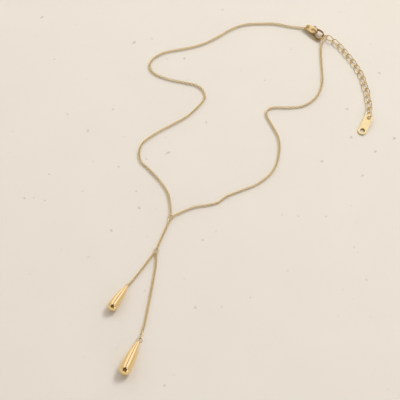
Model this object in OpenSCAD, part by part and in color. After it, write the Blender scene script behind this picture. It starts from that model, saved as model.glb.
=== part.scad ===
// Lariat necklace lying on a table: a fine cable chain closed by a lobster clasp and an
// extender, and a drop that splits into two short chains, each with a long teardrop.
// The neck loop lies round the origin, +Y runs to the clasp, and +Z is up from the table.

/* [Fine chain] */
// Thickness of the wire of a fine link
fine_wire = 0.36; // [0.34:0.01:0.38]
// Width of a fine link over its sides
fine_w = 1.5; // [1.48:0.01:1.54]
// Length of a fine link over its ends
fine_l = 2.15; // [2.14:0.01:2.2]
// Length that each fine link adds to its chain
fine_pitch = 1.28; // [1.24:0.01:1.3]

/* [Extender] */
// Number of links in the extender
extender_links = 14; // [14:1:14]
// Thickness of the wire of an extender link
extender_wire = 0.53; // [0.5:0.01:0.55]
// Width of an extender link over its sides
extender_w = 3.1; // [3:0.05:3.3]
// Length of an extender link over its ends
extender_l = 5.42; // [5.4:0.01:5.45]
// How far each end of an extender link is turned out of its middle, in degrees
extender_twist = 36; // [36:1:42]

/* [Rings] */
// Centre-line radius of the two rings that the chains branch from
branch_ring_r = 1.25; // [1.2:0.05:1.3]
// Wire thickness of the two branch rings and of the large drop's ring
ring_wire = 0.4; // [0.36:0.02:0.42]
// Wire thickness of the ring of the small drop
small_ring_wire = 0.36; // [0.34:0.01:0.37]
// Centre-line radius of the ring of the large drop
large_ring_r = 1.45; // [1.4:0.05:1.5]
// Centre-line radius of the ring of the small drop
small_ring_r = 1; // [0.95:0.05:1.05]
// Centre-line radius of the ring at the tail of the clasp
clasp_ring_r = 1.35; // [1.3:0.05:1.4]
// Wire thickness of the ring at the tail of the clasp
clasp_ring_wire = 0.45; // [0.4:0.01:0.45]
// Centre-line radius of the ring that the clasp hooks into
end_ring_r = 2.3; // [2.25:0.05:2.35]
// Centre-line radius of the ring of the tag
tag_ring_r = 1.8; // [1.75:0.05:1.85]
// Wire thickness of the end ring and the tag ring
large_ring_wire = 0.5; // [0.45:0.01:0.5]

/* [Drops] */
// Radius of the round end of the large drop
large_ball_r = 2.9; // [2.8:0.05:3]
// Radius of the pointed end of the large drop
large_tip_r = 0.72; // [0.68:0.01:0.74]
// Distance between the centres of the large drop's two ends
large_span = 15.9; // [15.5:0.1:16.5]
// Radius of the round end of the small drop
small_ball_r = 2.5; // [2.4:0.05:2.6]
// Radius of the pointed end of the small drop
small_tip_r = 0.62; // [0.6:0.01:0.64]
// Distance between the centres of the small drop's two ends
small_span = 13.1; // [12.8:0.1:13.5]
// Radius of the arc that the sides of both drops follow, as a share of their span
side_bulge = 3.2; // [3.1:0.1:3.4]
// Radius of the hole through the large drop's point
large_eye_r = 0.42; // [0.42:0.01:0.44]
// Radius of the hole through the small drop's point
small_eye_r = 0.4; // [0.4:0.01:0.42]

/* [Clasp] */
// Radius of the round head of the clasp
head_r = 2.9; // [2.85:0.05:3]
// Distance from the tail's eye to the centre of the head
head_x = 7.6; // [7.5:0.1:7.7]
// Outer radius of the eye at the tail
eye_r = 1.6; // [1.55:0.05:1.65]
// Radius of the hole in the eye
eye_hole_r = 0.85; // [0.85:0.01:0.9]
// Half thickness of the clasp at its middle
clasp_half = 1.15; // [1.1:0.05:1.2]
// Radius of the opening inside the hook
hook_r = 1.95; // [1.9:0.05:2]
// Radius of the rivet that the lever turns on
rivet_r = 0.4; // [0.35:0.05:0.45]
// Clearance between the lever and what it moves past
lever_gap = 0.1; // [0.08:0.01:0.12]

/* [Tag] */
// Distance between the two holes of the tag
tag_span = 8.4; // [8:0.1:9]
// Width of the tag
tag_w = 4.7; // [4.5:0.1:4.9]
// Thickness of the tag
tag_t = 0.7; // [0.6:0.05:0.7]
// Radius of the hole that the tag hangs from
tag_hole_r = 1.05; // [1:0.05:1.1]
// Radius of the empty hole at the far end
tag_far_hole_r = 1.3; // [1.2:0.05:1.4]

/* [Hidden] */
gold = [0.88, 0.70, 0.38];
pale_gold = [0.93, 0.79, 0.50];
deep_gold = [0.80, 0.60, 0.30];

// Height of a fine chain's centre line, with its upright links on the table
lie = fine_w / 2;
// How far each drop lies tilted, with its point down, and the clear space under its side
drop_tilt = 5;
drop_gap = 0.02;
// Height of the extender's centre line
extender_lie = 0.85;
// Sides of a fine link along its wire and round it
fine_sides = 10;
fine_round = 5;
// Sides of an extender link along its wire and round it
extender_sides = 16;
extender_round = 6;
// Clear space that a link keeps from the wire that it passes round
link_gap = 0.15;
// Rings of the two tubes that stand for the neck chain, and the sides of each ring
left_rings = 46;
right_rings = 33;
tube_sides = 8;
// Clear space between the end of a tube and the ring that the chain is linked to
tube_gap = 0.4;
// Points that each stretch of a route is divided into
route_steps = 6;
// Middle of the necklace in the plan that the places and routes below are measured in
middle = [-0.063, -0.807, 0];

// A place holds a position, a turn about Z, a climb of the local X axis and a roll about it
function about_x(v, a) = [v.x, v.y * cos(a) - v.z * sin(a), v.y * sin(a) + v.z * cos(a)];
function about_y(v, a) = [v.x * cos(a) + v.z * sin(a), v.y, v.z * cos(a) - v.x * sin(a)];
function about_z(v, a) = [v.x * cos(a) - v.y * sin(a), v.x * sin(a) + v.y * cos(a), v.z];
function placed(place, v) =
    place[0] - middle + about_z(about_y(about_x(v, place[3]), -place[2]), place[1]);
function rim(place, r, angle) = placed(place, [r * cos(angle), r * sin(angle), 0]);

// Turn of each drop about Z, and the turn and the climb of its ring towards it
large_drop_turn = -111;
large_drop_at = -114;
large_climb = 21;
small_drop_turn = -119.5;
small_drop_at = -117;
small_climb = 26;

// The arc that a drop's side follows: where its middle is, from the drop's point, and its radius
function side_arc(ball_r, tip_r, span) =
    let (r = side_bulge * span, to_tip = r - tip_r, to_ball = r - ball_r,
         y = (to_tip * to_tip - to_ball * to_ball + span * span) / (2 * span))
    [-sqrt(to_tip * to_tip - y * y), y, r];
// Height of a drop's point when its side lies on the table
function point_z(arc) = arc[2] + arc.x * cos(drop_tilt) - arc.y * sin(drop_tilt) + drop_gap;
// A ring's wire bows inside the drop's point, so the drop hangs a little inwards of the ring
function hang_r(r, tip_r) = (r + sqrt(r * r - tip_r * tip_r)) / 2;
function hang_z(arc, r, tip_r, climb) = point_z(arc) - hang_r(r, tip_r) * sin(climb);
large_hang = side_arc(large_ball_r, large_tip_r, large_span);
small_hang = side_arc(small_ball_r, small_tip_r, small_span);

clasp_place = [[35, 103, 1.6], -43, 0, 20];
clasp_ring_place = [[35.14, 102.09, 1.4], 172, -20, 55];
end_ring_place = [[44.2, 95.8, 1.5], -14, 8, -30];
tag_ring_place = [[65.8, 42.8, 1.65], -94, -2, 50];
tag_place = [[65.6, 41, 1.4], -116, -5.3, 0];
y_ring_place = [[-38.2, -19.9, lie], 0, 0, 0];
split_ring_place = [[-45.3, -39.4, lie], 0, 0, 0];
small_ring_place = [[-58.9, -59.2, hang_z(small_hang, small_ring_r, small_tip_r, small_climb)],
                    small_drop_at, small_climb, 0];
large_ring_place = [[-52.5, -89.1, hang_z(large_hang, large_ring_r, large_tip_r, large_climb)],
                    large_drop_at, large_climb, 0];

// The inner points of each route, on the table, between the rings at its two ends
left_points = [
    [26, 103.5], [18, 105.5], [10, 105.5], [2, 105], [-5.5, 102], [-12.5, 97], [-19.5, 92.5],
    [-26.5, 89.5], [-34.5, 87.5], [-42.5, 85.5], [-48, 82], [-50.5, 78], [-50, 73.5],
    [-46.5, 70], [-39.5, 67], [-31.5, 65], [-25, 63], [-21.5, 59], [-21, 54.5], [-24.5, 49],
    [-30.5, 42.5], [-38, 37.5], [-47, 31.5], [-53.5, 25.5], [-55, 19.5], [-54, 14],
    [-49.5, 9], [-44, 2], [-40, -5], [-38.5, -12.5]
];
right_points = [
    [-32.5, -16.5], [-26, -13.5], [-20, -12.5], [-14.5, -11], [-9.5, -7], [-2, -3.5],
    [5.5, 0], [12, 5.5], [16, 12], [18, 21.5], [17.5, 29.5], [14.5, 37], [12, 42.5],
    [12, 46], [15.5, 48.5], [23, 48.5], [31, 49.5], [37.5, 54], [41, 60], [42.5, 67],
    [42.5, 75], [42.5, 84], [42.7, 88.5, 0.85], [43.7, 91.8, 1.75]
];
drop_points = [[-41, -27.5], [-43.5, -34]];
short_points = [[-48.5, -44], [-52, -49.5], [-56.5, -56]];
long_points = [[-45.5, -49], [-47, -60], [-48.5, -70], [-50, -79]];
extender_points = [
    [49.8, 92.9, 1.3], [52.5, 90, 1], [55, 86.5], [57, 83.2], [58.9, 80], [60.5, 77], [62, 73.5],
    [63.5, 70], [64.5, 66], [65, 62.5], [66, 58.5], [66, 54.5], [66.5, 51, 0.88], [66.5, 48, 1]
];

// The ends of the routes, on the wires of the rings
clasp_ring_end = rim(clasp_ring_place, clasp_ring_r, 0);
end_ring_chain_end = rim(end_ring_place, end_ring_r, -80);
end_ring_extender_end = rim(end_ring_place, end_ring_r, 0);
tag_ring_end = rim(tag_ring_place, tag_ring_r, 180);

function on_table(points, z) =
    [for (p = points) [p.x, p.y, len(p) > 2 ? p.z : z] - middle];
left_route = concat([clasp_ring_end], on_table(left_points, lie),
                    [rim(y_ring_place, branch_ring_r, 92)]);
right_route = concat([rim(y_ring_place, branch_ring_r, 32)], on_table(right_points, lie),
                     [end_ring_chain_end]);
drop_route = concat([rim(y_ring_place, branch_ring_r, -110)], on_table(drop_points, lie),
                    [rim(split_ring_place, branch_ring_r, 72)]);
short_route = concat([rim(split_ring_place, branch_ring_r, 234)], on_table(short_points, lie),
                     [rim(small_ring_place, small_ring_r, 175)]);
long_route = concat([rim(split_ring_place, branch_ring_r, 277)], on_table(long_points, lie),
                    [rim(large_ring_place, large_ring_r, 190)]);
extender_route = concat([end_ring_extender_end], on_table(extender_points, extender_lie),
                        [tag_ring_end]);

// A smooth line through the points of a route, its running length, and a point along it
function between(a, b, c, d, t) =
    0.5 * (2 * b + (c - a) * t + (2 * a - 5 * b + 4 * c - d) * t * t
           + (3 * b - a - 3 * c + d) * t * t * t);
function smooth(route) = concat(
    [for (i = [0 : len(route) - 2]) for (k = [0 : route_steps - 1])
        between(route[max(i - 1, 0)], route[i], route[i + 1],
                route[min(i + 2, len(route) - 1)], k / route_steps)],
    [route[len(route) - 1]]);
function running(line, i = 0, s = 0) =
    i == len(line) - 1 ? [s]
    : concat([s], running(line, i + 1, s + norm(line[i + 1] - line[i])));
function measured(line, lengths) =
    [for (axis = [0 : 2]) [for (i = [0 : len(line) - 1]) [lengths[i], line[i][axis]]]];
function track(route) = let (line = smooth(route), lengths = running(line))
    [measured(line, lengths), lengths[len(lengths) - 1]];
function along(way, s) = [for (axis = [0 : 2]) lookup(s, way[0][axis])];
function heading(way, s) = let (a = along(way, s + 0.4), b = along(way, s - 0.4)) (a - b) / norm(a - b);

// Where the links of a chain lie: the first and last pass round the wires at its two ends
function end_reach(link_l, link_wire, wire) = (link_l - link_wire) / 2 - (wire + link_wire) / 2 - link_gap;
function link_at(i, count, first, last) = first + i * (last - first) / (count - 1);
// A link's roll starts at one angle, adds a quarter turn and drifts to end at the other angle
function link_roll(i, count, roll_a, roll_b) =
    let (rest = (roll_b - roll_a - 90 * (count - 1)) % 180,
         drift = rest > 90 ? rest - 180 : rest < -90 ? rest + 180 : rest)
    roll_a + i * (90 + drift / (count - 1));

// Sides and up of a line's heading
function side_of(t) = let (s = [-t.y, t.x, 0]) s / norm(s);
function up_of(t) = cross(t, side_of(t));

// The centre line of an oval link: two round ends joined by straight sides
function oval_angle(k, sides) = let (half = sides / 2, e = floor(k / half))
    -90 + 180 * e + 180 * (k - half * e) / (half - 1);
function oval_point(k, sides, straight, r) = let (half = sides / 2, a = oval_angle(k, sides))
    [(k < half ? straight : -straight) + r * cos(a), r * sin(a), 0];

// A closed ring of wire round an oval, twisted along its length, as one polyhedron
module wire_link(link_l, link_w, wire, sides, around, twist) {
    r = (link_w - wire) / 2;
    straight = (link_l - link_w) / 2;
    reach = (link_l - wire) / 2;
    points = [for (k = [0 : sides - 1]) for (j = [0 : around - 1])
        let (c = oval_point(k, sides, straight, r), a = oval_angle(k, sides),
             b = 360 * j / around, out = wire / 2 * cos(b),
             q = c + [out * cos(a), out * sin(a), wire / 2 * sin(b)])
        about_x(q, -twist * c.x / reach)];
    faces = [for (k = [0 : sides - 1]) for (j = [0 : around - 1]) for (half = [0, 1])
        let (a = k * around + j, b = k * around + (j + 1) % around,
             c = ((k + 1) % sides) * around + j, d = ((k + 1) % sides) * around + (j + 1) % around)
        half == 0 ? [a, b, d] : [a, d, c]];
    polyhedron(points, faces);
}

// Puts a link along a heading t at p, rolled about it
module along_heading(p, t, roll) {
    translate(p)
        rotate([0, 0, atan2(t.y, t.x)])
            rotate([0, -asin(t.z), 0])
                rotate([roll, 0, 0])
                    children();
}

// A chain of fine links along a route, whose end links roll as the wires that they hold need
module link_chain(route, wire_a, wire_b, roll_a, roll_b) {
    way = track(route);
    first = end_reach(fine_l, fine_wire, wire_a);
    last = way[1] - end_reach(fine_l, fine_wire, wire_b);
    count = ceil((last - first) / fine_pitch) + 1;
    for (i = [0 : count - 1]) {
        s = link_at(i, count, first, last);
        along_heading(along(way, s), heading(way, s), link_roll(i, count, roll_a, roll_b))
            wire_link(fine_l, fine_w, fine_wire, fine_sides, fine_round, 0);
    }
}

// A plain tube as thick as the fine chain, along a route, clear of the wires at its two ends
module chain_tube(route, rings, wire_a, wire_b) {
    way = track(route);
    first = wire_a / 2 + tube_gap;
    last = way[1] - wire_b / 2 - tube_gap;
    points = [for (i = [0 : rings - 1]) for (j = [0 : tube_sides - 1])
        let (s = first + i * (last - first) / (rings - 1), t = heading(way, s),
             a = 360 * (j + 0.5) / tube_sides, r = fine_w / 2)
        along(way, s) + r * cos(a) * side_of(t) + r * sin(a) * up_of(t)];
    walls = [for (i = [0 : rings - 2]) for (j = [0 : tube_sides - 1]) for (half = [0, 1])
        let (a = i * tube_sides + j, b = i * tube_sides + (j + 1) % tube_sides,
             c = a + tube_sides, d = b + tube_sides)
        half == 0 ? [a, b, d] : [a, d, c]];
    start = [for (j = [tube_sides - 1 : -1 : 0]) j];
    end = [for (j = [0 : tube_sides - 1]) (rings - 1) * tube_sides + j];
    polyhedron(points, concat(walls, [start, end]));
}

module put(place) {
    translate(place[0] - middle)
        rotate([0, 0, place[1]])
            rotate([0, -place[2], 0])
                rotate([place[3], 0, 0])
                    children();
}

module ring(place, r, wire) {
    put(place)
        rotate_extrude($fn = 48)
            translate([r, 0])
                circle(d = wire, $fn = 24);
}

// A ball and a small round point at the origin, joined by a long arc that touches both. It lies
// with its side on the table, and a level hole goes through its point.
module teardrop(ball_r, tip_r, span, arc, hole_r, turn) {
    wedge = 9;
    rotate([0, 0, turn])
        difference() {
            rotate([0, 90 - drop_tilt, 0])
                rotate_extrude($fn = 64)
                    intersection() {
                        union() {
                            circle(r = tip_r, $fn = 64);
                            translate([0, span])
                                circle(r = ball_r, $fn = 64);
                            intersection() {
                                translate([arc.x, arc.y])
                                    circle(r = arc[2], $fn = 720);
                                polygon([[arc.x, arc.y], [-arc.x / wedge, -arc.y / wedge],
                                         [-arc.x / wedge, span + (span - arc.y) / wedge]]);
                            }
                        }
                        translate([0, -tip_r])
                            square([span, 2 * span]);
                    }
            rotate([90, 0, 0])
                cylinder(r = hole_r, h = 4 * tip_r, center = true, $fn = 32);
        }
}

// Clasp, drawn with its tail at the origin and its head towards +X

head_at = eye_r + head_x;
clasp_l = head_at + head_r;
rivet_at = [5.3, 0.9];
hook_x = 9.55;
hook_run = 0.5;
gate_r = 5.65;
gate_y = 1.2;
gate_x = 6.9;
slot_half = 0.6;
lever_half = slot_half - lever_gap;
gate_half = 0.6;
crown_x = 5.4;
crown_across_r = 8;
crown_along_r = 30;

module clasp_outline() {
    lean = asin((head_r - eye_r) / head_x);
    translate([eye_r, 0])
        circle(r = eye_r, $fn = 48);
    translate([head_at, 0])
        circle(r = head_r, $fn = 64);
    polygon([for (e = [[eye_r, eye_r, 1], [head_at, head_r, 1], [head_at, head_r, -1], [eye_r, eye_r, -1]])
        [e[0] - e[1] * sin(lean), e[2] * e[1] * cos(lean)]]);
}

// Wide arcs that crown the clasp's two faces, over its width and over its length
module crown_across(side) {
    translate([crown_x, 0, side * (clasp_half - crown_across_r)])
        rotate([0, 90, 0])
            cylinder(r = crown_across_r, h = 2 * clasp_l, center = true, $fn = 128);
}

module crown_along(side) {
    translate([crown_x, 0, side * (clasp_half - crown_along_r)])
        rotate([90, 0, 0])
            cylinder(r = crown_along_r, h = 4 * head_r, center = true, $fn = 360);
}

module clasp_blank() {
    intersection() {
        linear_extrude(4 * clasp_half, center = true)
            clasp_outline();
        crown_across(1);
        crown_across(-1);
        crown_along(1);
        crown_along(-1);
    }
}

// The gap in the hook's side that the lever closes, cut back by an arc about the rivet
module gate() {
    intersection() {
        translate(rivet_at)
            circle(r = gate_r, $fn = 96);
        translate([gate_x, gate_y])
            square([clasp_l, head_r]);
    }
}

module clasp_body_solid() {
    difference() {
        clasp_blank();
        translate([eye_r, 0, 0])
            cylinder(r = eye_hole_r, h = 4 * clasp_half, center = true, $fn = 32);
        for (x = [hook_x - hook_run, hook_x])
            translate([x, 0, 0])
                cylinder(r = hook_r, h = 4 * clasp_half, center = true, $fn = 64);
        linear_extrude(4 * clasp_half, center = true)
            gate();
        translate([3.4, -0.6, -slot_half])
            cube([4.6, 5, 2 * slot_half]);
    }
    translate([rivet_at.x, rivet_at.y, 0])
        cylinder(r = rivet_r, h = 2 * (clasp_half - 0.15), center = true, $fn = 32);
}

// The lever: a round root on the rivet, a bar along the hook's side and a thumb nub
lever_bar = [[5, 1.8], [7, 2.7], [8.2, 2.88], [9.2, 2.92], [10, 2.8], [10.45, 2.6],
             [10.5, 1.95], [9.3, 2.05], [7.6, 1.95], [6.1, 0.45]];
lever_nub_at = [4.4, 2.5];

module lever_root() {
    translate(rivet_at)
        circle(r = 1, $fn = 48);
    polygon(lever_bar);
    translate(lever_nub_at)
        circle(r = 0.6, $fn = 32);
    polygon([[4.4, 1.2], [3.85, 2.35], [4.7, 3], [6, 2.25], [5.8, 1.4]]);
}

module clasp_lever_solid() {
    difference() {
        union() {
            linear_extrude(2 * lever_half, center = true)
                lever_root();
            linear_extrude(2 * gate_half, center = true)
                intersection() {
                    polygon(lever_bar);
                    translate([gate_x + lever_gap, 0])
                        square([5, 5]);
                }
        }
        translate([rivet_at.x, rivet_at.y, 0])
            cylinder(r = rivet_r + 0.05, h = 4 * lever_half, center = true, $fn = 32);
    }
}

module tag_solid() {
    difference() {
        linear_extrude(tag_t, center = true)
            union() {
                circle(d = tag_w, $fn = 64);
                translate([0, -tag_w / 2])
                    square([tag_span, tag_w]);
                translate([tag_span, 0])
                    circle(d = tag_w, $fn = 64);
            }
        cylinder(r = tag_hole_r, h = 3 * tag_t, center = true, $fn = 48);
        translate([tag_span, 0, 0])
            cylinder(r = tag_far_hole_r, h = 3 * tag_t, center = true, $fn = 48);
    }
}

module chain_left() {
    color(gold)
        chain_tube(left_route, left_rings, clasp_ring_wire, ring_wire);
}

module chain_right() {
    color(gold)
        chain_tube(right_route, right_rings, ring_wire, large_ring_wire);
}

module drop_chain() {
    color(gold)
        link_chain(drop_route, ring_wire, ring_wire, 90, 90);
}

module short_drop_chain() {
    color(gold)
        link_chain(short_route, ring_wire, small_ring_wire, 90, 90);
}

module long_drop_chain() {
    color(gold)
        link_chain(long_route, ring_wire, ring_wire, 90, 90);
}

module y_ring() {
    color(deep_gold)
        ring(y_ring_place, branch_ring_r, ring_wire);
}

module split_ring() {
    color(deep_gold)
        ring(split_ring_place, branch_ring_r, ring_wire);
}

module small_drop_ring() {
    color(deep_gold)
        ring(small_ring_place, small_ring_r, small_ring_wire);
}

module large_drop_ring() {
    color(deep_gold)
        ring(large_ring_place, large_ring_r, ring_wire);
}

module clasp_ring() {
    color(deep_gold)
        ring(clasp_ring_place, clasp_ring_r, clasp_ring_wire);
}

module end_ring() {
    color(deep_gold)
        ring(end_ring_place, end_ring_r, large_ring_wire);
}

module tag_ring() {
    color(deep_gold)
        ring(tag_ring_place, tag_ring_r, large_ring_wire);
}

function hung_at(place, r, tip_r) = rim(place, hang_r(r, tip_r), 0);

module small_drop() {
    color(gold)
        translate(hung_at(small_ring_place, small_ring_r, small_tip_r))
            teardrop(small_ball_r, small_tip_r, small_span, small_hang, small_eye_r,
                     small_drop_turn);
}

module large_drop() {
    color(gold)
        translate(hung_at(large_ring_place, large_ring_r, large_tip_r))
            teardrop(large_ball_r, large_tip_r, large_span, large_hang, large_eye_r,
                     large_drop_turn);
}

module clasp_body() {
    color(gold)
        put(clasp_place)
            clasp_body_solid();
}

module clasp_lever() {
    color(pale_gold)
        put(clasp_place)
            clasp_lever_solid();
}

module tag() {
    color(pale_gold)
        put(tag_place)
            tag_solid();
}

extender_way = track(extender_route);
extender_first = end_reach(extender_l, extender_wire, large_ring_wire);
extender_last = extender_way[1] - extender_first;

module extender_link(i) {
    s = link_at(i - 1, extender_links, extender_first, extender_last);
    color(gold)
        along_heading(along(extender_way, s), heading(extender_way, s), 0)
            wire_link(extender_l, extender_w, extender_wire, extender_sides, extender_round,
                      extender_twist);
}

function link_name(i) = str("extender_link_", i < 10 ? "0" : "", i);

chain_left();
chain_right();
drop_chain();
short_drop_chain();
long_drop_chain();
y_ring();
split_ring();
small_drop_ring();
large_drop_ring();
clasp_ring();
end_ring();
tag_ring();
small_drop();
large_drop();
clasp_body();
clasp_lever();
tag();
for (i = [1 : extender_links])
    extender_link(i);
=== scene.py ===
# %% [markdown]
# # A lariat necklace laid out on a table
#
# The necklace is a fine cable chain with a drop that forks into two chains, each ending in a
# polished teardrop. A lobster clasp closes it, hooked into the first ring of an extender that
# ends in a long tag. The solids of the part are loaded first, and stay as a fixed frame. Every
# piece below is made in the same place as the solid that it dresses, in metres.

# %% Load the solids
import math
import bpy
import numpy as np
from mathutils import Matrix, Vector


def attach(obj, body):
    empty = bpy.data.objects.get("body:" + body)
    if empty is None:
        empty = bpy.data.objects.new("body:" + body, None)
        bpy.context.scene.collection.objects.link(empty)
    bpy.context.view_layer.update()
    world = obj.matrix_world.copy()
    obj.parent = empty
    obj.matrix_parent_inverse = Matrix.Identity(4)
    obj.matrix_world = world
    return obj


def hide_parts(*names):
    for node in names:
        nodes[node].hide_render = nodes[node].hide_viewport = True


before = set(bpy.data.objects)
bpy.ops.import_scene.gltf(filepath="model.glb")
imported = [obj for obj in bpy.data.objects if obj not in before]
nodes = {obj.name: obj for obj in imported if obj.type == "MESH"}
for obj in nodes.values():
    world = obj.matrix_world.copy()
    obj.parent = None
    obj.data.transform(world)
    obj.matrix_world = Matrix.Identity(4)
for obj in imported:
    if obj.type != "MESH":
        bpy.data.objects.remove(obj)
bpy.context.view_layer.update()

# %% [markdown]
# Sizes are written in millimetres, as a jeweller gives them, and turned into metres where a
# piece is made. A place is a point, a turn about Z, a climb and a roll, as in the part's source.
# The middle of the necklace on the table, in the same millimetres, is the frame's origin.

# %% Units and places
MM = 0.001
MIDDLE = Vector((-0.063, -0.807, 0))


def place_matrix(point, turn, climb, roll):
    """Where a piece lies, from its point in millimetres and three angles in degrees."""
    return (Matrix.Translation((Vector(point) - MIDDLE) * MM)
            @ Matrix.Rotation(math.radians(turn), 4, "Z")
            @ Matrix.Rotation(math.radians(-climb), 4, "Y")
            @ Matrix.Rotation(math.radians(roll), 4, "X"))


RING_PLACES = {
    "clasp_ring": ((35.14, 102.09, 1.4), 172, -20, 55),
    "end_ring": ((44.2, 95.8, 1.5), -14, 8, -30),
    "tag_ring": ((65.8, 42.8, 1.65), -94, -2, 50),
    "y_ring": ((-38.2, -19.9, 0.75), 0, 0, 0),
    "split_ring": ((-45.3, -39.4, 0.75), 0, 0, 0),
    "small_drop_ring": ((-58.9, -59.2, 1.21), -117, 26, 0),
    "large_drop_ring": ((-52.5, -89.1, 1.353), -114, 21, 0),
}
# The radius of each ring, to the middle of its wire, and the wire's thickness.
RING_SIZES = {
    "clasp_ring": (1.35, 0.45), "end_ring": (2.3, 0.5), "tag_ring": (1.8, 0.5),
    "y_ring": (1.25, 0.4), "split_ring": (1.25, 0.4),
    "small_drop_ring": (1.0, 0.36), "large_drop_ring": (1.45, 0.4),
}
TAG_PLACE = ((65.6, 41, 1.4), -116, -5.3, 0)
print("rings:", len(RING_PLACES))

# %% [markdown]
# Operators act on whatever is selected, so each piece starts with nothing selected, and the
# pieces or vertices that an operator should change are then picked in code. A copy gets its own
# mesh. Its place goes into that mesh, so that the finished object itself stays at the origin.

# %% Picking and copying
HAIR = 1e-6  # in metres, to leave out vertices that lie right on the middle line


def start():
    """Back to object mode, with nothing selected."""
    if bpy.context.mode != "OBJECT":
        bpy.ops.object.mode_set(mode="OBJECT")
    bpy.ops.object.select_all(action="DESELECT")


def pick(*pieces):
    """Selects only these pieces, with the first of them active."""
    start()
    for piece in pieces:
        piece.select_set(True)
    bpy.context.view_layer.objects.active = pieces[0]


def pick_vertices(piece, keep):
    """Enters edit mode with only the vertices selected whose place passes the test."""
    bpy.ops.object.mode_set(mode="EDIT")
    bpy.ops.mesh.select_mode(type="VERT")
    bpy.ops.mesh.select_all(action="DESELECT")
    bpy.ops.object.mode_set(mode="OBJECT")
    for vertex in piece.data.vertices:
        vertex.select = keep(vertex.co)
    bpy.ops.object.mode_set(mode="EDIT")


def add_copy(source, name):
    """A copy of a piece, with its own mesh, in the scene."""
    copy = bpy.data.objects.new(name, source.data.copy())
    bpy.context.collection.objects.link(copy)
    return copy


# %% [markdown]
# A modifier is applied once it has its settings, so that what is seen is the mesh itself. A
# finished piece has one material, rides on a body, and hides the solids that it stands for. It
# prints its triangles, because the looks have a budget of them.

# %% Finishing a piece
def apply_modifiers(piece):
    for modifier in list(piece.modifiers):
        bpy.ops.object.modifier_apply(modifier=modifier.name)


def finish_piece(piece, name, body, material, hides):
    """Gives a piece its name and metal, and says what it rides on and stands for."""
    piece.name = name
    piece.data.name = name
    piece.data.materials.clear()
    piece.data.materials.append(material)
    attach(piece, body)
    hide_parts(*hides)
    triangles = sum(len(face.vertices) - 2 for face in piece.data.polygons)
    print(name, "triangles:", triangles)


# %% [markdown]
# A material is a tree of nodes. By hand each node is added from a menu and its sliders are set.
# This helper does the same in one line: a kind of node, its settings, and the values of its
# inputs by name.

# %% Adding a shader node
def add_node(tree, kind, values=(), **settings):
    node = tree.nodes.new(kind)
    for setting, value in settings.items():
        setattr(node, setting, value)
    for label, value in dict(values).items():
        node.inputs[label].default_value = value
    return node


# %% [markdown]
# Polished yellow gold is one metal, but it looks a little different on each piece: patches of a
# darker shade, and faint rubbed lines that run one way. On the drops and the tag, whose shade is
# close to the colour, the patches are a soft haze from handling; on the chain and the clasp,
# whose shade is deep, they are painted dark reflections. A painted image could show both, but
# noise on the object's own coordinates needs no file and fits any size. Both come from one node
# group, so that every material gives it its own values. The shader itself stays in the material.

# %% The sockets of the wear group
wear_and_reflection_group = bpy.data.node_groups.new("polished_wear_and_reflection", "ShaderNodeTree")
COLOUR, NUMBER = "NodeSocketColor", "NodeSocketFloat"
for label, kind in (("Colour", COLOUR), ("Shade", COLOUR), ("Haze and reflection size", NUMBER),
                    ("Rub size", NUMBER), ("Smooth", NUMBER), ("Rubbed", NUMBER)):
    wear_and_reflection_group.interface.new_socket(label, in_out="INPUT", socket_type=kind)
for label, kind in (("Colour", COLOUR), ("Roughness", NUMBER), ("Height", NUMBER)):
    wear_and_reflection_group.interface.new_socket(label, in_out="OUTPUT", socket_type=kind)
print("wear sockets:", len(wear_and_reflection_group.interface.items_tree))


# %% [markdown]
# Inside the group, a broad noise mixes the metal's colour with its shade in patches. On the
# chain and the clasp these patches are painted dark reflections; on the drops and the tag, a
# faint haze.
# A second noise, stretched along one direction, is the rubbing. It raises the roughness and
# gives the height for a faint bump.

# %% Haze and rubbing inside the group
def fill_wear_group(group):
    link = group.links.new
    given, out = add_node(group, "NodeGroupInput"), add_node(group, "NodeGroupOutput")
    place = add_node(group, "ShaderNodeTexCoord")
    haze_and_reflection = add_node(group, "ShaderNodeTexNoise", {"Detail": 3})
    # How much of the shade each patch takes; on the chain and the clasp this paints dark
    # reflections.
    patch_share = add_node(group, "ShaderNodeMapRange",
                      {"From Min": 0.35, "From Max": 0.7, "To Max": 0.55})
    tone = add_node(group, "ShaderNodeMix", data_type="RGBA")
    link(place.outputs["Object"], haze_and_reflection.inputs["Vector"])
    link(given.outputs["Haze and reflection size"], haze_and_reflection.inputs["Scale"])
    link(haze_and_reflection.outputs["Fac"], patch_share.inputs["Value"])
    link(patch_share.outputs["Result"], tone.inputs["Factor"])
    link(given.outputs["Colour"], tone.inputs["A"])
    link(given.outputs["Shade"], tone.inputs["B"])
    streak = add_node(group, "ShaderNodeMapping",
                      {"Scale": (1, 0.22, 0.6), "Rotation": (0.2, 0.1, 0.6)})
    rub = add_node(group, "ShaderNodeTexNoise", {"Detail": 4})
    spread = add_node(group, "ShaderNodeMapRange", {"From Min": 0.3, "From Max": 0.7})
    link(place.outputs["Object"], streak.inputs["Vector"])
    link(streak.outputs["Vector"], rub.inputs["Vector"])
    link(given.outputs["Rub size"], rub.inputs["Scale"])
    link(rub.outputs["Fac"], spread.inputs["Value"])
    link(given.outputs["Smooth"], spread.inputs["To Min"])
    link(given.outputs["Rubbed"], spread.inputs["To Max"])
    link(tone.outputs["Result"], out.inputs["Colour"])
    link(spread.outputs["Result"], out.inputs["Roughness"])
    link(rub.outputs["Fac"], out.inputs["Height"])


fill_wear_group(wear_and_reflection_group)
print("wear nodes:", len(wear_and_reflection_group.nodes))


# %% [markdown]
# Each metal below has a clear colour, a shade, the sizes of its shade patches and of its rubbing
# in millimetres, its roughness where it is smooth and where it is rubbed, and the strength of
# its bump. The chain and the clasp get a deep shade, as painted dark reflections, because small
# polished forms show more contrast than large ones. The lever sits in the clasp's shadow, so its
# colour is painted shade, almost brown.

# %% The golds
RELIEF = 0.01  # depth of the bump, in millimetres


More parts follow.
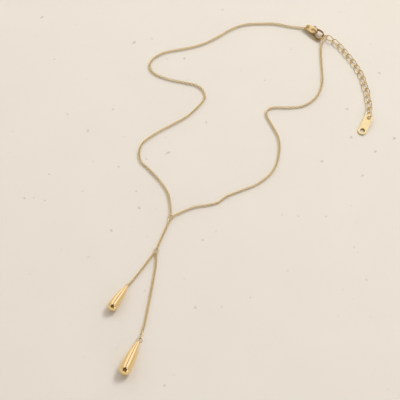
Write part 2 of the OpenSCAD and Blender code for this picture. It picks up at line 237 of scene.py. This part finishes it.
def make_gold(name, colour, shade, haze_and_reflection, rub, smooth, rubbed, bump):
    """A metal that gets its rubbing and its patches of shade through the shared group."""
    material = bpy.data.materials.new(name)
    material.use_nodes = True
    tree = material.node_tree
    shader = tree.nodes["Principled BSDF"]
    shader.inputs["Metallic"].default_value = 1.0
    wear_and_reflection = add_node(tree, "ShaderNodeGroup", {
        "Colour": (*colour, 1), "Shade": (*shade, 1), "Haze and reflection size": 1 / (haze_and_reflection * MM),
        "Rub size": 1 / (rub * MM), "Smooth": smooth, "Rubbed": rubbed}, node_tree=wear_and_reflection_group)
    relief = add_node(tree, "ShaderNodeBump", {"Strength": bump, "Distance": RELIEF * MM})
    tree.links.new(wear_and_reflection.outputs["Colour"], shader.inputs["Base Color"])
    tree.links.new(wear_and_reflection.outputs["Roughness"], shader.inputs["Roughness"])
    tree.links.new(wear_and_reflection.outputs["Height"], relief.inputs["Height"])
    tree.links.new(relief.outputs["Normal"], shader.inputs["Normal"])
    return material


# The deep shades of the chain and the clasp are painted dark reflections on the metal.
chain_gold = make_gold("chain_gold", (1.0, 0.82, 0.38), (0.42, 0.25, 0.05),
                       haze_and_reflection=1.1, rub=0.6, smooth=0.06, rubbed=0.14, bump=0.3)
ring_gold = make_gold("ring_gold", (0.88, 0.68, 0.32), (0.52, 0.37, 0.14),
                      haze_and_reflection=1.8, rub=0.5, smooth=0.10, rubbed=0.22, bump=0.3)
drop_gold = make_gold("drop_gold", (0.96, 0.74, 0.36), (0.93, 0.69, 0.3),
                      haze_and_reflection=5, rub=1.2, smooth=0.06, rubbed=0.12, bump=0.12)
clasp_gold = make_gold("clasp_gold", (1.0, 0.79, 0.38), (0.44, 0.28, 0.09),
                       haze_and_reflection=2.2, rub=0.8, smooth=0.05, rubbed=0.12, bump=0.2)
tag_gold = make_gold("tag_gold", (1.0, 0.84, 0.44), (0.98, 0.81, 0.41),
                     haze_and_reflection=3, rub=0.8, smooth=0.12, rubbed=0.22, bump=0.15)
# The lever's colours are painted shade: almost brown, for the clasp's shadow that it lies in.
lever_gold = make_gold("lever_gold", (0.46, 0.29, 0.11), (0.12, 0.06, 0.02),
                       haze_and_reflection=2, rub=0.6, smooth=0.08, rubbed=0.16, bump=0.2)

# %% [markdown]
# The two teardrops are turned and polished, and their solids already have that exact shape. So
# they stay, and only get the drops' gold. The other solids get the rings' gold, and are hidden
# further on by the pieces that stand for them.

# %% Metal on the solids
for name, node in nodes.items():
    node.data.materials.clear()
    node.data.materials.append(drop_gold if name.endswith("drop") else ring_gold)
print("nodes with a metal:", len(nodes))


# %% [markdown]
# A chain lies where its route says. A route is a few points on the table, joined by a smooth
# line, and the links sit on that line at even steps. A straight chain could be bent along a
# curve with a modifier, but that stretches the links in the bends. Measuring the line first
# gives the place and the heading at any distance along it, and each link keeps its shape.

# %% Routes
PARTS = 12  # straight parts of the line between two route points
LOOK = 0.4  # how far the heading looks back and ahead, in millimetres


def smooth_point(a, b, c, d, t):
    """The point at share t of the way from b to c, on the smooth line past a, b, c and d."""
    return 0.5 * (2 * b + (c - a) * t + (2 * a - 5 * b + 4 * c - d) * t ** 2
                  + (3 * b - a - 3 * c + d) * t ** 3)


class Track:
    """A smooth line through points in millimetres, measured along its length."""

    def __init__(self, points):
        points = [np.array(point, float) for point in points]
        last = len(points) - 1
        line = [smooth_point(points[max(i - 1, 0)], points[i], points[i + 1],
                             points[min(i + 2, last)], k / PARTS)
                for i in range(last) for k in range(PARTS)]
        self.line = np.array(line + [points[-1]])
        steps = np.linalg.norm(np.diff(self.line, axis=0), axis=1)
        self.run = np.concatenate([[0], np.cumsum(steps)])
        self.length = self.run[-1]

    def at(self, s):
        """The point at a distance along the line."""
        return np.array([np.interp(s, self.run, self.line[:, k]) for k in range(3)])

    def basis(self, s):
        """Ahead, side and up of the line at a distance along it."""
        ahead = self.at(min(s + LOOK, self.length)) - self.at(max(s - LOOK, 0))
        ahead = ahead / np.linalg.norm(ahead)
        side = np.cross((0, 0, 1), ahead)
        side /= np.linalg.norm(side)
        return ahead, side, np.cross(ahead, side)


# %% [markdown]
# Every chain starts and ends on a ring's wire, at an angle round that ring. Its other points lie
# on the table, at the height of the chain's middle, unless a point gives a height of its own.

# %% Points of a route
def on_wire(ring, angle):
    """A point on a ring's centre line, and the direction of its wire there."""
    turned = place_matrix(*RING_PLACES[ring])
    a, r = math.radians(angle), RING_SIZES[ring][0] * MM
    at = turned @ Vector((r * math.cos(a), r * math.sin(a), 0))
    wire = turned.to_3x3() @ Vector((-math.sin(a), math.cos(a), 0))
    return np.array(at) / MM, np.array(wire)


def laid(points, height):
    """Route points on the table, measured from the frame's origin."""
    return [(p[0] - MIDDLE.x, p[1] - MIDDLE.y, p[2] if len(p) > 2 else height) for p in points]


y_ring_point = on_wire("y_ring", 0)[0]
print("a point on the Y ring:", [round(float(v), 2) for v in y_ring_point])


# %% [markdown]
# The real chain is a cable chain: oval links of round wire, each passed through the next, a
# quarter turn apart. An oval could be a curve with a round bevel, but a torus gives the ring of
# wire at once. Its two halves are pulled apart in edit mode, which makes an oval with straight
# sides. It is repeated hundreds of times, so it has few faces.

# %% One fine link
LINK_L, LINK_W, LINK_WIRE = 2.0, 1.45, 0.33


def make_link(name, length, width, wire, around, across):
    """An oval link of round wire, lying flat on its middle."""
    start()
    bpy.ops.mesh.primitive_torus_add(major_segments=around, minor_segments=across,
                                     major_radius=(width - wire) / 2 * MM,
                                     minor_radius=wire / 2 * MM, location=(0, 0, 0))
    link = bpy.context.object
    link.name = name
    pull = (length - width) / 2 * MM
    for side in (1, -1):
        pick_vertices(link, lambda co: co.x * side > HAIR)
        bpy.ops.transform.translate(value=(side * pull, 0, 0))
        bpy.ops.object.mode_set(mode="OBJECT")
    bpy.ops.object.shade_smooth()
    print(name, "spans", [round(d / MM, 2) for d in link.dimensions],
          "faces", len(link.data.polygons))
    return link


fine_link = make_link("fine_link", LINK_L, LINK_W, LINK_WIRE, around=12, across=5)


# %% [markdown]
# A link is put on its route by its distance along it and its roll, the angle between its flat
# side and the table. The first link hangs in a ring's wire with a little play, and its flat side
# stands square to that wire.

# %% A link's place and roll
CLEAR = 0.12  # play between a link and the wire that it holds, in millimetres


def end_reach(length, wire, ring_wire):
    """From the middle of a ring's wire to the middle of the link that hangs in it."""
    return (length - wire) / 2 - (ring_wire + wire) / 2 - CLEAR


def roll_across(track, s, wire_direction):
    """The roll that turns a link's flat side square to the wire that it holds."""
    ahead, side, up = track.basis(s)
    width = np.cross(wire_direction, ahead)
    return math.degrees(math.atan2(width @ up, width @ side))


def nearest_turn(target, base):
    """The angle equal to target, or half a turn from it, that is nearest to base."""
    return base + (target - base + 90) % 180 - 90


def link_matrix(track, s, roll):
    """Where a link lies: its length along the route, and its flat side turned by the roll."""
    ahead, side, up = track.basis(s)
    width = math.cos(math.radians(roll)) * side + math.sin(math.radians(roll)) * up
    axes = np.column_stack([ahead, width, np.cross(ahead, width)])
    return Matrix.Translation(Vector(track.at(s)) * MM) @ Matrix(axes.tolist()).to_4x4()


print("reach into the Y ring:", round(end_reach(LINK_L, LINK_WIRE, RING_SIZES["y_ring"][1]), 3))


# %% [markdown]
# On a table, a cable chain's links by turns lie nearly flat and stand nearly on edge, so the
# chain looks beaded from above. The chain also twists a little, to and fro, along its length.
# At a ring the first link must stand across the ring's wire, so the lean eases over a few
# links from the one roll to the other. An array of links could not do that, so each copy is
# placed by itself, and the copies are then joined to one piece.

# %% Laying a chain of fine links
PITCH = 1.24  # from one link's middle to the next
EASE_LINKS = 7  # links over which the roll eases at a ring
LEAN, LEAN_SWING = 22, 14  # degrees of the flat links' tilt, and of its sway
SWING_LENGTH = 5.5  # millimetres of chain for each radian of the sway
LIE = 0.72  # height of the chain's middle over the table


def eased_roll(i, count, s, roll_a, roll_b):
    """The roll of link i of a chain, between the rolls that its two rings ask for."""
    from_a = max(0, 1 - i / EASE_LINKS)
    from_b = max(0, 1 - (count - 1 - i) / EASE_LINKS)
    loose = LEAN_SWING * math.sin(s / SWING_LENGTH) * (1 - from_a) * (1 - from_b)
    return LEAN + loose + (roll_a - LEAN) * from_a + (roll_b - LEAN) * from_b + 90 * i


def lay_chain(name, start_at, points, end_at):
    """Copies the fine link along a route from one ring's wire to another's."""
    (a, wire_a), (b, wire_b) = on_wire(*start_at), on_wire(*end_at)
    track = Track([a, *laid(points, LIE), b])
    first = end_reach(LINK_L, LINK_WIRE, RING_SIZES[start_at[0]][1])
    last = track.length - end_reach(LINK_L, LINK_WIRE, RING_SIZES[end_at[0]][1])
    count = math.ceil((last - first) / PITCH) + 1
    roll_a = nearest_turn(roll_across(track, first, wire_a), LEAN)
    roll_b = nearest_turn(roll_across(track, last, wire_b) - 90 * (count - 1), LEAN)
    copies = []
    for i in range(count):
        s = first + i * (last - first) / (count - 1)
        copy = add_copy(fine_link, name)
        copy.data.transform(link_matrix(track, s, eased_roll(i, count, s, roll_a, roll_b)))
        copies.append(copy)
    pick(*copies)
    bpy.ops.object.join()
    print(name, "links:", count, "pitch:", round((last - first) / (count - 1), 3),
          "length in mm:", round(track.length, 1))
    return bpy.context.object


# %% [markdown]
# The neck loop has a left side and a right side, which meet at the Y ring. From there a short
# chain hangs to the split ring, and a short and a long chain hang from that to the two drops.
# The points follow the bends of the real chain as it lies.

# %% The routes of the five chains
LEFT_POINTS = [
    (26, 103.5), (18, 105.5), (10, 105.5), (2, 105), (-5.5, 102), (-12.5, 97), (-19.5, 92.5),
    (-26.5, 89.5), (-34.5, 87.5), (-42.5, 85.5), (-48, 82), (-50.5, 78), (-50, 73.5),
    (-46.5, 70), (-39.5, 67), (-31.5, 65), (-25, 63), (-21.5, 59), (-21, 54.5), (-24.5, 49),
    (-30.5, 42.5), (-38, 37.5), (-47, 31.5), (-53.5, 25.5), (-55, 19.5), (-54, 14),
    (-49.5, 9), (-44, 2), (-40, -5), (-38.5, -12.5)]
RIGHT_POINTS = [
    (-32.5, -16.5), (-26, -13.5), (-20, -12.5), (-14.5, -11), (-9.5, -7), (-2, -3.5),
    (5.5, 0), (12, 5.5), (16, 12), (18, 21.5), (17.5, 29.5), (14.5, 37), (12, 42.5),
    (12, 46), (15.5, 48.5), (23, 48.5), (31, 49.5), (37.5, 54), (41, 60), (42.5, 67),
    (42.5, 75), (42.5, 84), (42.7, 88.5, 0.85), (43.7, 91.8, 1.75)]
DROP_POINTS = [(-41, -27.5), (-43.5, -34)]
SHORT_DROP_POINTS = [(-48.5, -44), (-52, -49.5), (-56.5, -56)]
LONG_DROP_POINTS = [(-45.5, -49), (-47, -60), (-48.5, -70), (-50, -79)]
CHAINS = {
    "chain_left": (("clasp_ring", 0), LEFT_POINTS, ("y_ring", 92)),
    "chain_right": (("y_ring", 32), RIGHT_POINTS, ("end_ring", -80)),
    "drop_chain": (("y_ring", -110), DROP_POINTS, ("split_ring", 72)),
    "short_drop_chain": (("split_ring", 234), SHORT_DROP_POINTS, ("small_drop_ring", 175)),
    "long_drop_chain": (("split_ring", 277), LONG_DROP_POINTS, ("large_drop_ring", 190)),
}

# %% [markdown]
# Each chain is laid, takes its gold, and stands for the node of the same name. In the solids
# that is a plain tube on each side of the neck loop, and coarser links in the drop chains.

# %% The five chains
for node_name, (begin, points, end) in CHAINS.items():
    chain = lay_chain(node_name, begin, points, end)
    finish_piece(chain, node_name + "_links", "necklace", chain_gold, [node_name])
bpy.data.objects.remove(fine_link)

# %% [markdown]
# The extender is a curb chain. Its links are larger ovals, and each one is twisted, so that
# the chain lies flat. The twist could be turned ring by ring in edit mode, but a modifier does
# it evenly in one go, on a finer oval than the chain's. It turns the link's whole length, and
# the wire's middle is a little shorter, so the angle is raised in that proportion.

# %% One extender link
EXTENDER_L, EXTENDER_W, EXTENDER_WIRE = 5.42, 3.1, 0.5
EXTENDER_TWIST = -36  # of each end, in degrees
curb_link = make_link("curb_link", EXTENDER_L, EXTENDER_W, EXTENDER_WIRE, around=32, across=10)
twist = curb_link.modifiers.new("Twist", "SIMPLE_DEFORM")
twist.deform_method = "TWIST"
twist.deform_axis = "X"
twist.angle = math.radians(2 * EXTENDER_TWIST * EXTENDER_L / (EXTENDER_L - EXTENDER_WIRE))
apply_modifiers(curb_link)
print("twisted link spans", [round(d / MM, 2) for d in curb_link.dimensions])

# %% [markdown]
# The links of a curb chain all lie the same way, so each copy has no roll of its own. They are
# fourteen pieces, as many as there are solids, since links of this size are seen one by one.

# %% Extender links
EXTENDER_LINKS = 14
EXTENDER_LIE = 0.85  # height of its middle over the table
EXTENDER_POINTS = [
    (49.8, 92.9, 1.3), (52.5, 90, 1), (55, 86.5), (57, 83.2), (58.9, 80), (60.5, 77), (62, 73.5),
    (63.5, 70), (64.5, 66), (65, 62.5), (66, 58.5), (66, 54.5), (66.5, 51, 0.88), (66.5, 48, 1)]
extender = Track([on_wire("end_ring", 0)[0], *laid(EXTENDER_POINTS, EXTENDER_LIE),
                  on_wire("tag_ring", 180)[0]])
reach = end_reach(EXTENDER_L, EXTENDER_WIRE, RING_SIZES["end_ring"][1])
for i in range(EXTENDER_LINKS):
    s = reach + i * (extender.length - 2 * reach) / (EXTENDER_LINKS - 1)
    node_name = f"extender_link_{i + 1:02d}"
    curb = add_copy(curb_link, node_name + "_curb")
    curb.data.transform(link_matrix(extender, s, 0))
    finish_piece(curb, node_name + "_curb", "necklace", chain_gold, [node_name])
bpy.data.objects.remove(curb_link)
print("extender, from ring to ring, in mm:", round(extender.length, 1))

# %% [markdown]
# A jump ring is a piece of round wire bent to a circle and pressed shut, so it has a seam. A
# torus would have none. So the wire's round section is spun about the middle of the ring, and
# stops just short of a full turn. The seam is turned away from the links that the ring holds.

# %% Jump rings
WIRE_SIDES, RING_STEPS = 16, 56
SEAM = 0.03  # gap along the wire, in millimetres
SEAM_AT = {"clasp_ring": 95, "end_ring": 60, "tag_ring": 80, "y_ring": 165, "split_ring": 155,
           "small_drop_ring": 95, "large_drop_ring": 100}


def make_ring(name):
    """A jump ring of round wire, with its seam turned to its own side."""
    radius, wire = RING_SIZES[name]
    start()
    bpy.ops.mesh.primitive_circle_add(
        vertices=WIRE_SIDES, radius=wire / 2 * MM, fill_type="NGON",
        location=(radius * MM, 0, 0), rotation=(math.pi / 2, 0, 0))
    ring = bpy.context.object
    bpy.ops.object.transform_apply(location=True, rotation=True, scale=True)
    bpy.ops.object.mode_set(mode="EDIT")
    bpy.ops.mesh.select_all(action="SELECT")
    bpy.ops.mesh.spin(steps=RING_STEPS, angle=2 * math.pi - SEAM / radius, center=(0, 0, 0),
                      axis=(0, 0, 1))
    bpy.ops.mesh.select_all(action="SELECT")
    bpy.ops.mesh.fill_holes(sides=0)
    bpy.ops.mesh.select_all(action="SELECT")
    bpy.ops.mesh.normals_make_consistent(inside=False)
    bpy.ops.object.mode_set(mode="OBJECT")
    bpy.ops.object.shade_smooth_by_angle(angle=math.radians(40))
    seam_turn = Matrix.Rotation(math.radians(SEAM_AT[name]), 4, "Z")
    ring.data.transform(place_matrix(*RING_PLACES[name]) @ seam_turn)
    finish_piece(ring, name + "_wire", "necklace", ring_gold, [name])


for ring_name in RING_PLACES:
    make_ring(ring_name)

# %% [markdown]
# The clasp's solids have the right shape, but a cast clasp is tumbled, so no edge on it is
# sharp. It could be modelled again from primitives, but then it might not fit its lever. So a
# copy of each solid is merged into one skin, its flat triangles are dissolved into whole faces,
# and a narrow bevel rounds the edges. The solids themselves are left alone. The lever is also
# polished down a little all over, so that it slides freely in the clasp's slot.

# %% Clasp body and lever
SAME_POINT = 0.002  # vertices nearer than this are one, in millimetres


def soften(node_name, body, material, edge, polish=0):
    """A smooth copy of a solid, with its edges rounded and its faces polished down."""
    copy = add_copy(nodes[node_name], node_name + "_cast")
    pick(copy)
    bpy.ops.object.mode_set(mode="EDIT")
    bpy.ops.mesh.select_all(action="SELECT")
    bpy.ops.mesh.remove_doubles(threshold=SAME_POINT * MM)
    bpy.ops.mesh.dissolve_limited(angle_limit=math.radians(0.5))
    if polish:
        bpy.ops.mesh.select_all(action="SELECT")
        bpy.ops.transform.shrink_fatten(value=-polish * MM)
    bpy.ops.object.mode_set(mode="OBJECT")
    bevel = copy.modifiers.new("Edges", "BEVEL")
    bevel.width = edge * MM
    bevel.segments = 3
    bevel.limit_method = "ANGLE"
    bevel.angle_limit = math.radians(35)
    apply_modifiers(copy)
    bpy.ops.object.shade_smooth_by_angle(angle=math.radians(50))
    finish_piece(copy, node_name + "_cast", body, material, [node_name])


soften("clasp_body", "necklace", clasp_gold, edge=0.12)
soften("clasp_lever", "lever", lever_gold, edge=0.08, polish=0.03)

# %% [markdown]
# The tag is stamped from sheet: a long plate with round ends and two holes. Its outline could be
# drawn and extruded, but a cylinder already has the round ends, and only has to be pulled in
# half. Two drills are taken out of it, and the edges get the soft round that tumbling leaves.
# The large faces then set the shading of their corners, so that the flat metal reflects evenly
# to its edge.

# %% Tag
TAG_SPAN, TAG_W, TAG_T = 8.4, 4.7, 0.7
TAG_HOLES = ((0, 1.05), (TAG_SPAN, 1.3))  # how far along the plate, and the radius
TAG_EDGE = 0.16  # width of its rounded edges


def drill(plate, x, radius):
    """Gives the plate a round hole, and returns the drill, which is removed later."""
    bpy.ops.mesh.primitive_cylinder_add(vertices=64, radius=radius * MM, depth=4 * TAG_T * MM,
                                        location=(x * MM, 0, 0))
    cut = plate.modifiers.new("Hole", "BOOLEAN")
    cut.operation = "DIFFERENCE"
    cut.object = bpy.context.object
    return cut.object


def make_tag():
    """The stamped plate, with its two holes and soft edges."""
    start()
    bpy.ops.mesh.primitive_cylinder_add(vertices=96, radius=TAG_W / 2 * MM, depth=TAG_T * MM,
                                        end_fill_type="NGON")
    tag = bpy.context.object
    pick_vertices(tag, lambda co: co.x > HAIR)
    bpy.ops.transform.translate(value=(TAG_SPAN * MM, 0, 0))
    bpy.ops.object.mode_set(mode="OBJECT")
    drills = [drill(tag, x, radius) for x, radius in TAG_HOLES]
    round_off = tag.modifiers.new("Edges", "BEVEL")
    round_off.width = TAG_EDGE * MM
    round_off.segments = 3
    round_off.limit_method = "ANGLE"
    pick(tag)
    apply_modifiers(tag)
    for used in drills:
        bpy.data.objects.remove(used)
    bpy.ops.object.shade_smooth_by_angle(angle=math.radians(40))
    weigh = tag.modifiers.new("Flat faces", "WEIGHTED_NORMAL")
    weigh.keep_sharp = True
    apply_modifiers(tag)
    print("tag in mm:", [round(d / MM, 2) for d in tag.dimensions])
    tag.data.transform(place_matrix(*TAG_PLACE))
    finish_piece(tag, "tag_plate", "necklace", tag_gold, ["tag"])


make_tag()


# %% [markdown]
# The necklace lies on a plain, pale plaster table top. The plaster is a mottle of two near
# whites, with a few faint specks, and grit that is too fine to see one grain at a time. A
# photograph of plaster could be laid on it, but noise of three sizes does the same with no file.

# %% Plaster
def make_plaster():
    material = bpy.data.materials.new("table_plaster")
    material.use_nodes = True
    tree = material.node_tree
    link = tree.links.new
    shader = tree.nodes["Principled BSDF"]
    shader.inputs["Roughness"].default_value = 0.8
    shader.inputs["Specular IOR Level"].default_value = 0.2
    place = add_node(tree, "ShaderNodeTexCoord")
    mottle = add_node(tree, "ShaderNodeTexNoise", {"Scale": 30, "Detail": 5})
    grit = add_node(tree, "ShaderNodeTexNoise", {"Scale": 400})
    specks = add_node(tree, "ShaderNodeTexNoise", {"Scale": 210, "Detail": 1})
    for noise in (mottle, grit, specks):
        link(place.outputs["Object"], noise.inputs["Vector"])
    whites = add_node(tree, "ShaderNodeMix", {"A": (0.84, 0.825, 0.70, 1),
                                              "B": (0.885, 0.875, 0.76, 1)}, data_type="RGBA")
    few = add_node(tree, "ShaderNodeMapRange",
                   {"From Min": 0.735, "From Max": 0.80, "To Max": 0.45})
    marked = add_node(tree, "ShaderNodeMix", {"B": (0.42, 0.37, 0.33, 1)}, data_type="RGBA")
    link(mottle.outputs["Fac"], whites.inputs["Factor"])
    link(specks.outputs["Fac"], few.inputs["Value"])
    link(few.outputs["Result"], marked.inputs["Factor"])
    link(whites.outputs["Result"], marked.inputs["A"])
    link(marked.outputs["Result"], shader.inputs["Base Color"])
    relief = add_node(tree, "ShaderNodeBump", {"Strength": 0.12, "Distance": 0.0004})
    link(grit.outputs["Fac"], relief.inputs["Height"])
    link(relief.outputs["Normal"], shader.inputs["Normal"])
    return material


# %% [markdown]
# The table top is the stage, and isn't part of the necklace. A plane that is wider than the
# view is enough, because the plaster's relief is too small to change an outline.

# %% Table top
TABLE_SIZE = 3.0  # in metres
start()
bpy.ops.mesh.primitive_plane_add(size=TABLE_SIZE, location=(0, 0, 0))
table = bpy.context.object
table.name = "table_top"
table.data.materials.append(make_plaster())
print("table in metres:", [round(d, 2) for d in table.dimensions])

# %% [markdown]
# Polished gold shows what stands round it, so the room is made for its reflections. A picture
# of a real room could be used, but a colour ramp from left to right can be fitted to the drops.
# Its pale bands give each drop two bright lines along its length. The narrow dark band between
# them is the thin dark line. The ends of the ramp are the shaded sides of the drops.

# %% The room's walls
SHADED, DARK, BRIGHT = (0.70, 0.63, 0.61), (0.22, 0.17, 0.14), (1.42, 1.24, 1.50)
WALLS = (
    (0, SHADED), (0.24, SHADED), (0.32, (1.18, 1.12, 1.20)), (0.41, (1.16, 1.09, 1.16)),
    (0.545, (1.08, 1.01, 1.04)), (0.570, DARK), (0.625, DARK), (0.665, BRIGHT), (0.82, BRIGHT),
    (0.89, (0.72, 0.65, 0.63)), (1, (0.68, 0.61, 0.59)))
world = bpy.data.worlds.new("pale_room")
bpy.context.scene.world = world
world.use_nodes = True
room_tree = world.node_tree
link = room_tree.links.new
direction = add_node(room_tree, "ShaderNodeTexCoord")
split = add_node(room_tree, "ShaderNodeSeparateXYZ")
across = add_node(room_tree, "ShaderNodeMapRange", {"From Min": -1.0})
walls = add_node(room_tree, "ShaderNodeValToRGB")
ramp = walls.color_ramp
for position, colour in WALLS[1:-1]:
    ramp.elements.new(position).color = (*colour, 1)
ramp.elements[0].color = (*WALLS[0][1], 1)
ramp.elements[-1].color = (*WALLS[-1][1], 1)
link(direction.outputs["Generated"], split.inputs[0])
link(split.outputs["X"], across.inputs["Value"])
link(across.outputs["Result"], walls.inputs["Fac"])
print("wall colours:", len(ramp.elements))

# %% [markdown]
# Whoever looks down at the necklace stands dark against the room, and shows as small dark
# glints on the round ends of the drops and on the clasp. Here that is a dark patch round one
# direction. Noise makes its edge uneven, because an even disc would look like a painted dot.

# %% The dark patch above the viewer's side
PATCH_TILT = math.radians(56)
VIEWER_SIDE = (-0.05, -math.cos(PATCH_TILT), math.sin(PATCH_TILT))
PATCH_COLOUR = (0.11, 0.075, 0.045, 1)
ROOM_STRENGTH = 0.96
toward = add_node(room_tree, "ShaderNodeVectorMath", {1: VIEWER_SIDE}, operation="DOT_PRODUCT")
clutter = add_node(room_tree, "ShaderNodeTexNoise", {"Scale": 3.2, "Detail": 1})
uneven = add_node(room_tree, "ShaderNodeMath", {1: 1.1}, operation="MULTIPLY_ADD")
inside = add_node(room_tree, "ShaderNodeMapRange", {"From Min": 1.19, "From Max": 1.36})
room = add_node(room_tree, "ShaderNodeMix", {"B": PATCH_COLOUR}, data_type="RGBA")
background = room_tree.nodes["Background"]
background.inputs["Strength"].default_value = ROOM_STRENGTH
link(direction.outputs["Generated"], toward.inputs[0])
link(direction.outputs["Generated"], clutter.inputs["Vector"])
link(clutter.outputs["Fac"], uneven.inputs[0])
link(toward.outputs["Value"], uneven.inputs[2])
link(uneven.outputs["Value"], inside.inputs["Value"])
link(inside.outputs["Result"], room.inputs["Factor"])
link(walls.outputs["Color"], room.inputs["A"])
link(room.outputs["Result"], background.inputs["Color"])
print("room nodes:", len(room_tree.nodes))

# %% [markdown]
# A large soft window to the upper right lights the necklace and casts its shadows. A weaker one
# behind it lifts the far side of the table. Both are area lamps, as a sun would cast shadows
# with hard edges. Glossy rays don't see them, because a lamp that is mirrored in so small a
# piece is only a white blob, and the bands of the walls already draw the bright lines.

# %% Windows
DAYLIGHT = (1, 0.985, 0.95)


def add_window(name, location, size, power):
    """An area lamp that faces the necklace. Its place and size are in metres."""
    lamp = bpy.data.lights.new(name, "AREA")
    lamp.shape = "RECTANGLE"
    lamp.size, lamp.size_y = size
    lamp.energy = power
    lamp.color = DAYLIGHT
    holder = bpy.data.objects.new(name, lamp)
    bpy.context.collection.objects.link(holder)
    holder.location = location
    holder.rotation_euler = (-Vector(location)).to_track_quat("-Z", "Y").to_euler()
    holder.visible_glossy = False
    print(name, "watts:", power)


add_window("window", (0.9, 0.9, 1.3), (0.7, 0.6), 15.5)
add_window("far_window", (-0.15, 0.75, 0.45), (1.2, 0.4), 0.8)

# %% [markdown]
# The camera stands where the photograph's did: well above the table, looking down at about
# 58 degrees from the horizon. A long lens from far off keeps the far side of the neck loop
# nearly as large as the near side, as in the photograph. A short lens would shrink it.

# %% Camera
CAMERA_DISTANCE, CAMERA_TILT = 714, 58
LOOK_AT = (-23.5, -9.0, 0)
LENS, SENSOR = 126, 36
look_at = Vector(LOOK_AT) - MIDDLE
lens = bpy.data.cameras.new("camera")
lens.lens = LENS
lens.sensor_width = SENSOR
camera = bpy.data.objects.new("camera", lens)
bpy.context.collection.objects.link(camera)
tilt = math.radians(CAMERA_TILT)
camera.location = (look_at + CAMERA_DISTANCE * Vector((0, -math.cos(tilt), math.sin(tilt)))) * MM
camera.rotation_euler = (math.pi / 2 - tilt, 0, 0)
bpy.context.scene.camera = camera
bpy.context.scene.view_settings.view_transform = "Standard"
print("camera in metres:", [round(v, 3) for v in camera.location])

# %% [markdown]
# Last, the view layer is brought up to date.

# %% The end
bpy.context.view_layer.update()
